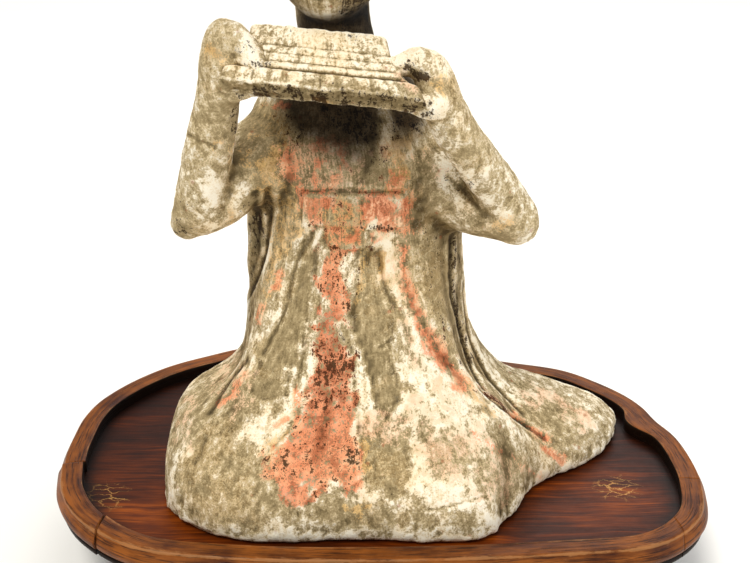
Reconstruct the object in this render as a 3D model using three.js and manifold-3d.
// A kneeling pottery musician blowing a raft of pipes, on a lobed hardwood tray stand.
// Millimetres, +Z up. The figure faces -Y. The origin is under the middle of the stand, on the
// surface that its four feet stand on.
import * as THREE from "three";
import { mergeVertices } from "three/addons/utils/BufferGeometryUtils.js";
import Module from "manifold-3d";

const wasm = await Module();
wasm.setup();

// Driving dimensions of the figure. Everything on it is drawn at one height and kept as a share of it.
const figureHeight = 266;
const drawnHeight = 266;
const figureScale = figureHeight / drawnHeight;
const drawnFoot = { left: -81, right: 126, front: -76, back: 48 };

// Driving dimensions of the stand.
const sideMargin = 27;
const depthMargin = 31;
const rimWidth = 9.5;
const rimHeight = 13;
const rimBulge = 2;
const recessDepth = 5.5;
const boardThickness = 4;
const grooveDepth = 4;
const cuspDepth = 4;
const cuspLength = 10;
const jointGap = 0.3;
const endStep = 0.9;
const apronInset = 7;
const apronThickness = 8;
const apronHeight = 12;
const cuspDrop = 4;
const legHeight = 29;
const legWidth = 25;
const legThickness = 11;

// Detail finer than this is left out of the joined figure.
const finest = 0.3;

const rad = THREE.MathUtils.degToRad;
const vec = (x, y, z) => new THREE.Vector3(x, y, z);

// Meshes and solids

function meshFrom(positions, triangles) {
  return new THREE.BufferGeometry()
    .setAttribute("position", new THREE.Float32BufferAttribute(positions, 3))
    .setIndex(triangles);
}

function solidFrom(geometry) {
  const bare = geometry.clone();
  bare.deleteAttribute("normal");
  bare.deleteAttribute("uv");
  const merged = mergeVertices(bare, 1e-4);
  return new wasm.Manifold(
    new wasm.Mesh({
      numProp: 3,
      vertProperties: merged.attributes.position.array,
      triVerts: new Uint32Array(merged.index.array),
    }),
  );
}

function geometryFrom(solid) {
  const mesh = solid.getMesh();
  const geometry = meshFrom(Array.from(mesh.vertProperties), Array.from(mesh.triVerts));
  geometry.computeVertexNormals();
  return geometry;
}

const unite = (solids) => solids.reduce((whole, part) => whole.add(part));
const largest = (solid) => solid.decompose().sort((a, b) => b.volume() - a.volume())[0];

// A closed skin through rings of equal count that run anticlockwise seen from above, lowest ring first.
function skin(rings) {
  const count = rings[0].length;
  const positions = rings.flat().flatMap((p) => [p.x, p.y, p.z]);
  const triangles = [];
  for (let j = 0; j + 1 < rings.length; j++)
    for (let i = 0; i < count; i++) {
      const a = j * count + i;
      const b = j * count + ((i + 1) % count);
      triangles.push(a, b, a + count, b, b + count, a + count);
    }
  for (const [start, upward] of [[0, false], [(rings.length - 1) * count, true]]) {
    const ring = rings[start / count];
    const middle = ring.reduce((sum, p) => sum.add(p), vec(0, 0, 0)).divideScalar(count);
    const hub = positions.length / 3;
    positions.push(middle.x, middle.y, middle.z);
    for (let i = 0; i < count; i++) {
      const a = start + i;
      const b = start + ((i + 1) % count);
      triangles.push(...(upward ? [a, b, hub] : [b, a, hub]));
    }
  }
  return meshFrom(positions, triangles);
}

// A closed band: for each step round the outline, one loop of profile points.
function band(loops) {
  const count = loops[0].length;
  const positions = loops.flat().flatMap((p) => [p.x, p.y, p.z]);
  const triangles = [];
  loops.forEach((_, j) => {
    const next = (j + 1) % loops.length;
    for (let i = 0; i < count; i++) {
      const k = (i + 1) % count;
      const [a, b] = [j * count + i, j * count + k];
      const [c, d] = [next * count + i, next * count + k];
      triangles.push(a, b, c, b, d, c);
    }
  });
  return meshFrom(positions, triangles);
}

// Smooth value along a list of [where, value] stations.
function along(stations, where) {
  const last = stations.length - 1;
  if (where <= stations[0][0]) return stations[0][1];
  if (where >= stations[last][0]) return stations[last][1];
  const k = stations.findIndex(([at]) => at > where) - 1;
  const [x0, y0] = stations[k];
  const [x1, y1] = stations[k + 1];
  const before = stations[Math.max(k - 1, 0)];
  const after = stations[Math.min(k + 2, last)];
  const slope0 = (y1 - before[1]) / (x1 - before[0]);
  const slope1 = (after[1] - y0) / (after[0] - x0);
  const t = (where - x0) / (x1 - x0);
  const h = x1 - x0;
  return (
    y0 * (1 + 2 * t) * (1 - t) ** 2 +
    h * slope0 * t * (1 - t) ** 2 +
    y1 * t * t * (3 - 2 * t) -
    h * slope1 * t * t * (1 - t)
  );
}

const bell = (x, width) => Math.exp(-((x / width) ** 2));
const rise = (x, from, to) => THREE.MathUtils.smoothstep(x, from, to);

// Stand: the outline of the rim's top face

const topWidth = (drawnFoot.right - drawnFoot.left) * figureScale + 2 * (sideMargin + rimWidth);
const topDepth = (drawnFoot.back - drawnFoot.front) * figureScale + 2 * (depthMargin + rimWidth);
const rimTop = legHeight + jointGap + rimHeight;
const boardTop = rimTop - recessDepth;

// A flat front, a round end each side, a notch behind the right end and one broad lobe behind.
const outlineShares = [
  [-0.868, -0.712], [-0.69, -0.908], [-0.38, -0.985], [0.063, -0.995], [0.5, -0.956], [0.803, -0.888],
  [0.951, -0.694], [0.998, -0.442], [1, -0.23], [0.98, -0.03], [0.94, 0.115], [0.915, 0.245],
  [0.873, 0.364], [0.789, 0.51], [0.676, 0.646], [0.437, 0.762], [0.141, 0.932], [-0.204, 0.995],
  [-0.49, 0.918], [-0.64, 0.807], [-0.766, 0.688], [-0.868, 0.536], [-0.928, 0.41], [-0.969, 0.29],
  [-0.994, 0.14], [-1, -0.02], [-0.998, -0.19], [-0.984, -0.34], [-0.956, -0.5],
];
const notchDirection = rad(6);
const outlineSteps = 66;

function standOutline() {
  const curve = new THREE.CatmullRomCurve3(
    outlineShares.map(([x, y]) => vec((x * topWidth) / 2, (y * topDepth) / 2, 0)),
    true,
    "centripetal",
  );
  return Array.from({ length: outlineSteps }, (_, i) => {
    const point = curve.getPointAt(i / outlineSteps);
    const tangent = curve.getTangentAt(i / outlineSteps);
    return { point, inward: vec(-tangent.y, tangent.x, 0) };
  });
}

const outline = standOutline();
const insetPoint = ({ point, inward }, inset, z) =>
  vec(point.x + inward.x * inset, point.y + inward.y * inset, z);
const stepAt = (angle) =>
  outline.reduce((best, step) => {
    const off = (p) => Math.abs(Math.atan2(Math.sin(p - angle), Math.cos(p - angle)));
    const turn = (s) => off(Math.atan2(s.point.y, s.point.x));
    return turn(step) < turn(best) ? step : best;
  });

// Stand: rim, cut into four pieces at glued joints

function rimProfile(step) {
  const notch = stepAt(notchDirection).point;
  const inner = rimWidth + cuspDepth * bell(step.point.distanceTo(notch), cuspLength);
  const slotTop = boardTop + jointGap;
  const slotBottom = boardTop - boardThickness - jointGap;
  const foot = rimTop - rimHeight;
  const edge = 0.7;
  return [
    [edge, rimTop],
    [0, rimTop - edge],
    [-rimBulge * 0.75, rimTop - rimHeight * 0.24],
    [-rimBulge, rimTop - rimHeight * 0.5],
    [-rimBulge * 0.3, rimTop - rimHeight * 0.8],
    [rimBulge * 0.7, foot],
    [inner, foot],
    [inner, slotBottom],
    [inner - grooveDepth, slotBottom],
    [inner - grooveDepth, slotTop],
    [inner, slotTop],
    [inner, rimTop - edge],
    [inner - edge, rimTop],
  ].map(([inset, z]) => insetPoint(step, inset, z));
}

// Each joint: where it is round the stand, and how far its line leans from square across the rim.
const rimJoints = [
  { angle: rad(191), lean: rad(-6) },
  { angle: rad(216.5), lean: rad(-38) },
  { angle: rad(325), lean: rad(42) },
  { angle: rad(344), lean: rad(0) },
];
const rimNames = ["stand_rim_left", "stand_rim_front", "stand_rim_right", "stand_rim_back"];

function jointSlab({ angle, lean }) {
  const step = stepAt(angle);
  const length = 4 * (rimWidth + rimBulge);
  const slab = new THREE.BoxGeometry(length, jointGap, 3 * rimHeight);
  const across = Math.atan2(step.inward.y, step.inward.x) + lean;
  slab.rotateZ(across);
  slab.translate(step.point.x, step.point.y, rimTop);
  return solidFrom(slab);
}

function rimPieces() {
  const ring = solidFrom(band(outline.map(rimProfile)));
  const cut = rimJoints.reduce((whole, joint) => whole.subtract(jointSlab(joint)), ring);
  const middleAngle = (solid) => {
    const box = solid.boundingBox();
    const x = (box.min[0] + box.max[0]) / 2;
    const y = (box.min[1] + box.max[1]) / 2;
    return (Math.atan2(y, x) + 2 * Math.PI) % (2 * Math.PI);
  };
  const pieces = cut.decompose().sort((a, b) => b.volume() - a.volume());
  const [back, front, ...ends] = pieces;
  const [left, right] = ends.sort((a, b) => middleAngle(a) - middleAngle(b));
  return { left: left.translate([-endStep, 0, 0]), front, right, back };
}

// Stand: the board let into the rim's groove

function board() {
  const edge = rimWidth - grooveDepth + jointGap;
  const notch = stepAt(notchDirection).point;
  const ringAt = (z) =>
    outline.map((step) =>
      insetPoint(step, edge + cuspDepth * bell(step.point.distanceTo(notch), cuspLength), z),
    );
  return skin([ringAt(boardTop - boardThickness), ringAt(boardTop)]);
}

// Stand: carved apron and four bowed legs, one piece

const legDirections = { frontLeft: rad(221), frontRight: rad(320), backRight: rad(42), backLeft: rad(128) };
const apronSteps = outline.filter((_, i) => i % 2 === 0);
const scallops = 16;

function apron() {
  const top = legHeight;
  return solidFrom(
    band(
      apronSteps.map((step, i) => {
        const turn = (i / apronSteps.length) * scallops * Math.PI;
        const low = top - apronHeight + cuspDrop * (1 - Math.abs(Math.sin(turn)));
        return [
          [apronInset + 2, top],
          [apronInset, top - apronHeight * 0.35],
          [apronInset + 1.5, low],
          [apronInset + apronThickness, low],
          [apronInset + apronThickness, top],
        ].map(([inset, z]) => insetPoint(step, inset, z));
      }),
    ),
  );
}

// Down a leg: share of its height, how far its middle is inside the rim's edge, and its half width
// and half thickness as shares of the leg's.
const legSections = [
  [0, 12.5, 0.64, 1], [0.05, 13, 0.66, 1.02], [0.12, 15, 0.56, 0.82], [0.25, 15.5, 0.52, 0.72],
  [0.42, 13.5, 0.64, 0.85], [0.62, 11.5, 0.88, 1.1], [0.8, 11.5, 1, 1.25], [1, 13, 1.02, 1.3],
];
const legSides = 12;

function leg(angle) {
  const { point, inward } = stepAt(angle);
  const outward = Math.atan2(-inward.y, -inward.x);
  const corner = (x) => Math.sign(x) * Math.abs(x) ** (2 / 3);
  const rings = legSections.map(([share, inset, wide, thick]) =>
    Array.from({ length: legSides }, (_, i) => {
      const a = (2 * Math.PI * i) / legSides;
      return vec((corner(Math.cos(a)) * thick * legThickness) / 2 - inset, (corner(Math.sin(a)) * wide * legWidth) / 2, share * legHeight)
        .applyAxisAngle(vec(0, 0, 1), outward)
        .add(vec(point.x, point.y, 0));
    }),
  );
  return solidFrom(skin(rings));
}

const underframe = () => unite([apron(), ...Object.values(legDirections).map(leg)]).simplify(finest);

// Figure: robe and trunk, drawn in the figure's own frame with z from the tray

// Directions round the body are in degrees: 0 is the front, positive the figure's left.
// The hem's edge on the tray, as [direction, reach]; the long one is the hem trailing behind its left knee.
const hemLine = [
  [-180, 55], [-150, 56], [-125, 60], [-105, 72], [-85, 80], [-70, 87], [-55, 94.5], [-40, 93], [-25, 86],
  [-10, 78], [5, 76], [20, 82], [35, 92], [50, 89], [62, 85], [74, 92], [84, 108], [94, 122], [102, 128],
  [110, 112], [125, 78], [150, 58],
];
// The trunk's half width, front reach and back reach by height.
const trunkSide = [[0, 46.5], [90, 46.5], [112, 46], [135, 44.5], [152, 42.5], [164, 37.5], [174, 28], [184, 17.5], [196, 15], [212, 15]];
const trunkFront = [[0, 36], [90, 36], [112, 32], [135, 30.5], [152, 28.5], [164, 24.5], [174, 19.5], [184, 19], [196, 21], [212, 21]];
const trunkBack = [[0, 39], [90, 39], [112, 37.5], [135, 35], [152, 31], [164, 26], [174, 18], [184, 13], [196, 6], [212, 5]];
// How much of the way from trunk to hem the robe still spreads, by height.
const spreadLap = [[0, 1], [12, 0.98], [24, 0.9], [34, 0.76], [44, 0.59], [56, 0.41], [72, 0.22], [92, 0.06], [104, 0]];
const spreadKnee = [[0, 1], [12, 1], [24, 0.96], [34, 0.88], [40, 0.75], [46, 0.4], [53, 0.12], [64, 0.03], [72, 0.01], [92, 0]];
const spreadBack = [[0, 1], [12, 0.86], [24, 0.5], [34, 0.29], [44, 0.17], [56, 0.1], [72, 0.05], [92, 0]];
const spreadTrain = [[0, 1], [12, 0.93], [24, 0.64], [34, 0.33], [44, 0.19], [56, 0.1], [72, 0.03], [92, 0]];
// The neck leans to the figure's right above the shoulders.
const lean = [[0, 0], [140, 0], [178, -5], [200, -8]];

function hemReach(turn) {
  const count = hemLine.length;
  const k = hemLine.findLastIndex(([direction]) => direction <= turn);
  const around = (i) => {
    const [direction, reach] = hemLine[THREE.MathUtils.euclideanModulo(i, count)];
    return [direction + 360 * Math.floor(i / count), reach];
  };
  return along([-1, 0, 1, 2].map((i) => around(k + i)), turn);
}

function trunkReach(turn, z) {
  const depth = along(Math.cos(rad(turn)) > 0 ? trunkFront : trunkBack, z);
  return 1 / Math.hypot(Math.sin(rad(turn)) / along(trunkSide, z), Math.cos(rad(turn)) / depth);
}

function spreadAt(turn, z) {
  const atFront = 1 - rise(Math.abs(turn), 45, 80);
  const atBack = rise(Math.abs(turn), 82, 106);
  const atTrain = rise(turn, 58, 84) * (1 - rise(turn, 108, 135));
  const side = THREE.MathUtils.lerp(along(spreadKnee, z), along(spreadBack, z), atBack);
  const body = THREE.MathUtils.lerp(side, along(spreadLap, z), atFront);
  return THREE.MathUtils.lerp(body, along(spreadTrain, z), atTrain);
}

// Creases of the cloth as lines of [direction, height], with how deep and how wide each is.
const folds = [
  { line: [[84, 104], [75, 80], [75, 62], [79, 44], [84, 30]], depth: 2, width: 4 },
  { line: [[64, 104], [61, 84], [60, 67], [66, 47]], depth: 2, width: 4 },
  { line: [[63, 45], [73, 29], [77, 15]], depth: 2.5, width: 5 },
  { line: [[9, 109], [30, 92], [38, 79], [44, 63], [48, 55]], depth: 2, width: 5 },
  { line: [[51, 25], [46, 4]], depth: 2.5, width: 7 },
  { line: [[-50, 135], [-58, 116], [-66, 100], [-72, 82], [-76, 75]], depth: 2.5, width: 4 },
  { line: [[-132, 150], [-140, 90], [-128, 40], [-122, 5]], depth: 2.5, width: 7 },
  { line: [[180, 120], [172, 60], [165, 10]], depth: 2, width: 7 },
  { line: [[140, 130], [138, 70], [130, 25]], depth: 2.5, width: 6 },
];
const belt = { from: 119, to: 133, between: [-35, 37], rise: 1.3 };

function distanceToLine(line, turn, z, reach) {
  // Flattened where it is looked up: across is the arc from the point, up is the height from it.
  const flat = line.map(([direction, height]) => {
    const away = THREE.MathUtils.euclideanModulo(direction - turn + 180, 360) - 180;
    return vec(rad(away) * reach, height - z, 0);
  });
  const nearest = vec(0, 0, 0);
  return Math.min(
    ...flat.slice(1).map((end, i) => {
      new THREE.Line3(flat[i], end).closestPointToPoint(vec(0, 0, 0), true, nearest);
      return nearest.length();
    }),
  );
}

// The reach at any height and direction, smooth both ways, with the creases and the belt.
function robeReachAt(turn, z) {
  const trunk = trunkReach(turn, z);
  const reach = trunk + (hemReach(turn) - trunkReach(turn, 0)) * spreadAt(turn, z);
  const creased = folds.reduce(
    (sum, { line, depth, width }) => sum - depth * bell(distanceToLine(line, turn, z, reach), width),
    reach,
  );
  const inside = (x, from, to, edge) => rise(x, from - edge, from + edge) * (1 - rise(x, to - edge, to + edge));
  return creased + belt.rise * inside(z, belt.from, belt.to, 1.5) * inside(turn, ...belt.between, 3);
}

const robeSteps = 54;
const robeLevels = [0, 8, 16, 25, 33, 39, 44, 49, 55, 64, 74, 85, 96, 107, 116, 119.5, 126, 132.5, 137, 145, 152, 158, 164, 169, 174, 179, 184, 192, 202, 212];

function robe() {
  const rings = robeLevels.map((z) =>
    Array.from({ length: robeSteps }, (_, i) => {
      const u = (2 * i) / robeSteps - 1;
      const angle = Math.PI * (0.62 * u + 0.38 * u ** 3);
      const r = robeReachAt(THREE.MathUtils.radToDeg(angle), z);
      return vec(along(lean, z) + r * Math.sin(angle), -r * Math.cos(angle), z);
    }),
  );
  return solidFrom(skin(rings));
}

// Figure: arms and hands, as limbs swept along a curve of [x, y, z, radius] stations

function limb(stations, sides = 11, stepsPerSpan = 2) {
  const curve = new THREE.CatmullRomCurve3(stations.map(([x, y, z]) => vec(x, y, z)), false, "centripetal");
  const spans = stations.length - 1;
  const steps = spans * stepsPerSpan;
  const radiusAt = (t) => along(stations.map(([, , , r], i) => [i / spans, r]), t);
  const frames = curve.computeFrenetFrames(steps, false);
  const ring = (t, k, shrink, push) => {
    const centre = curve.getPoint(t).addScaledVector(frames.tangents[k], push * radiusAt(t));
    return Array.from({ length: sides }, (_, i) => {
      const a = (2 * Math.PI * i) / sides;
      return centre
        .clone()
        .addScaledVector(frames.normals[k], Math.cos(a) * radiusAt(t) * shrink)
        .addScaledVector(frames.binormals[k], Math.sin(a) * radiusAt(t) * shrink);
    });
  };
  const rings = [];
  for (const a of [rad(72), rad(40)]) rings.push(ring(0, 0, Math.cos(a), -Math.sin(a)));
  for (let k = 0; k <= steps; k++) rings.push(ring(k / steps, k, 1, 0));
  for (const a of [rad(40), rad(72)]) rings.push(ring(1, steps, Math.cos(a), Math.sin(a)));
  return solidFrom(skin(rings));
}

const rightUpperArm = [[-24, 2, 146, 21], [-42, -15, 140, 17.5], [-59, -27, 127, 12]];
const rightForearm = [[-66.5, -28, 121, 8], [-61, -31, 130, 10.5], [-57.5, -35, 146, 10], [-52.5, -39, 166, 9.3], [-49.5, -43, 179, 8.8], [-48, -45, 190, 8.4], [-46.5, -46, 199, 7.6]];
const rightHand = [[-47, -46, 196, 8], [-43, -47, 199, 7], [-38, -49, 194, 5.5], [-35, -51, 190, 4]];
const rightPalm = [[-48, -46, 184, 8], [-43, -49, 182, 7.5], [-38, -51, 182, 5]];
const leftUpperArm = [[24, 2, 140, 24], [44, -14, 130, 18], [62, -26, 123.5, 12]];
const leftForearm = [[66, -27, 121, 10.5], [58, -32, 135, 10], [49, -38, 149, 9], [41, -43, 161, 8.8], [34.5, -47, 173, 8.4], [31, -49, 184, 7.8]];
const leftHand = [[31, -49, 185, 8], [27, -49, 190, 7], [21, -49, 190.5, 5.5], [18, -50, 189, 4]];
const leftPalm = [[33, -49, 178, 8], [30, -54, 176, 7], [25, -56, 176, 5]];

// Figure: the raft of pipes, in its own frame: x across, y from the lips to the far ends, z out of its face

const pipeCount = 12;
const raftHalfWidth = [[0, 26], [9, 27], [11, 29.5], [19, 31], [22, 36.5], [30, 39]];
// The pipes' far ends stand this much further to the figure's left than their lips.
const raftDrift = 5;
const raftLength = 28;
const raftThickness = 9;
const raftPlace = { at: [-12, -36, 197], dip: rad(36), yaw: rad(-6), roll: rad(4.5) };
const bandRibs = [[11.5, 1.1], [15.5, 0.8], [19.5, 1.1]];

function pipeRaft() {
  const stations = [0, 1.2, 6, 10, 11.5, 13.5, 15.5, 17.5, 19.5, 21, 24, 27, raftLength];
  const perPipe = 2;
  const rings = stations.map((out, k) => {
    const half = along(raftHalfWidth, out);
    // The raft is turned half round below, so this runs to the figure's left.
    const shift = (-raftDrift * out) / raftLength;
    const endRound = k === 0 || k === stations.length - 1 ? 1.5 : 0;
    const rib = bandRibs.reduce((sum, [at, height]) => sum + height * bell(out - at, 1), 0);
    const front = [];
    for (let i = 0; i <= pipeCount * perPipe; i++) {
      const across = (2 * i) / (pipeCount * perPipe) - 1;
      const round = 1.3 * Math.abs(Math.sin((i * Math.PI) / perPipe));
      const height = raftThickness / 2 + rib + round - endRound - 1.3;
      front.push(vec(shift + across * (half - endRound * 0.4), out, height));
    }
    const back = [0.9, 0.3, -0.3, -0.9].map((x) => vec(shift + x * half, out, -raftThickness / 2 + endRound));
    return [...front, ...back];
  });
  const body = skin(rings);
  const { at, dip, yaw, roll } = raftPlace;
  // The raft's y runs forwards and down, and its z upwards and forwards.
  const turn = new THREE.Matrix4()
    .makeTranslation(...at)
    .multiply(new THREE.Matrix4().makeRotationZ(yaw))
    .multiply(new THREE.Matrix4().makeRotationY(roll))
    .multiply(new THREE.Matrix4().makeRotationX(dip))
    .multiply(new THREE.Matrix4().makeRotationZ(Math.PI));
  body.applyMatrix4(turn);
  return solidFrom(body);
}

// Figure: head, as a skin round its centre with the features as rises and hollows

const headCentre = vec(-8, -17.5, 229);
const headHalf = { side: 24.5, front: 26.5, back: 25, up: 32, down: 30 };
const headYaw = rad(-8);

function headRadius(turn, tilt) {
  const [x, y, z] = [Math.sin(turn) * Math.cos(tilt), -Math.cos(turn) * Math.cos(tilt), Math.sin(tilt)];
  const jaw = 1 - 0.12 * rise(-z, 0.25, 1);
  const depth = y < 0 ? headHalf.front : headHalf.back;
  const height = z > 0 ? headHalf.up : headHalf.down;
  const skull = 1 / Math.hypot(x / (headHalf.side * jaw), y / depth, z / height);
  const t = THREE.MathUtils.radToDeg(turn);
  const e = THREE.MathUtils.radToDeg(tilt);
  const nose = 5.5 * bell(t, 8) * (rise(e, -17, -12) - rise(e, -12, 20));
  const sockets = -1.8 * (bell(t - 22, 11) + bell(t + 22, 11)) * bell(e - 8, 8);
  const lids = 1 * (bell(t - 21, 8) + bell(t + 21, 8)) * bell(e - 4, 5);
  const cheeks = 0.9 * (bell(t - 32, 14) + bell(t + 32, 14)) * bell(e + 18, 14);
  const lips = 1.6 * bell(t, 13) * bell(e + 28, 5);
  const chin = 1.2 * bell(t, 16) * bell(e + 50, 12);
  const hairline = 24 - 62 * rise(Math.abs(t), 48, 72);
  const hair = 2.2 * rise(e, hairline, hairline + 5) * (1 - 0.6 * rise(e, 55, 90));
  return skull + nose + sockets + lids + cheeks + lips + chin + hair;
}

function head() {
  const around = 28;
  const levels = [-82, -64, -50, -40, -33, -27, -21, -15, -11, -5, 1, 7, 13, 19, 25, 30, 38, 50, 65, 82];
  const rings = levels.map((degrees) =>
    Array.from({ length: around }, (_, i) => {
      const u = (2 * i) / around - 1;
      const turn = Math.PI * (0.6 * u + 0.4 * u ** 3);
      const tilt = rad(degrees);
      const r = headRadius(turn, tilt);
      return vec(r * Math.sin(turn) * Math.cos(tilt), -r * Math.cos(turn) * Math.cos(tilt), r * Math.sin(tilt))
        .applyAxisAngle(vec(0, 0, 1), headYaw)
        .add(headCentre);
    }),
  );
  return solidFrom(skin(rings));
}

function hairKnot() {
  const knot = new THREE.SphereGeometry(1, 12, 7);
  knot.rotateX(Math.PI / 2);
  knot.scale(10, 11, 8);
  knot.translate(headCentre.x, headCentre.y + 9, 258);
  return solidFrom(knot);
}

function musician() {
  const limbs = [rightUpperArm, rightForearm, leftUpperArm, leftForearm].map((stations) => limb(stations));
  const hands = [rightHand, rightPalm, leftHand, leftPalm].map((stations) => limb(stations, 8));
  const whole = unite([robe(), ...limbs, ...hands, pipeRaft(), head(), hairKnot()]).simplify(finest);
  return largest(whole);
}

// Finishes

const clay = new THREE.MeshStandardMaterial({ color: 0xb3a585, roughness: 0.9, metalness: 0 });
const rimWood = new THREE.MeshStandardMaterial({ color: 0x7a4d2c, roughness: 0.45, metalness: 0 });
const boardWood = new THREE.MeshStandardMaterial({ color: 0x5a3018, roughness: 0.35, metalness: 0 });
const darkWood = new THREE.MeshStandardMaterial({ color: 0x2c1e17, roughness: 0.5, metalness: 0 });

function named(name, geometry, material) {
  const mesh = new THREE.Mesh(geometry, material);
  mesh.name = name;
  return mesh;
}

// Assembly

const object = new THREE.Group();
const figure = named("musician", geometryFrom(musician()), clay);
const figurePlace = { x: -10, y: -7 };
figure.scale.setScalar(figureScale);
figure.position.set(figurePlace.x * figureScale, figurePlace.y * figureScale, boardTop + jointGap);
object.add(figure);
const rim = rimPieces();
for (const name of rimNames) object.add(named(name, geometryFrom(rim[name.split("_").pop()]), rimWood));
object.add(named("stand_board", board(), boardWood));
object.add(named("stand_underframe", geometryFrom(underframe()), darkWood));

export default object;
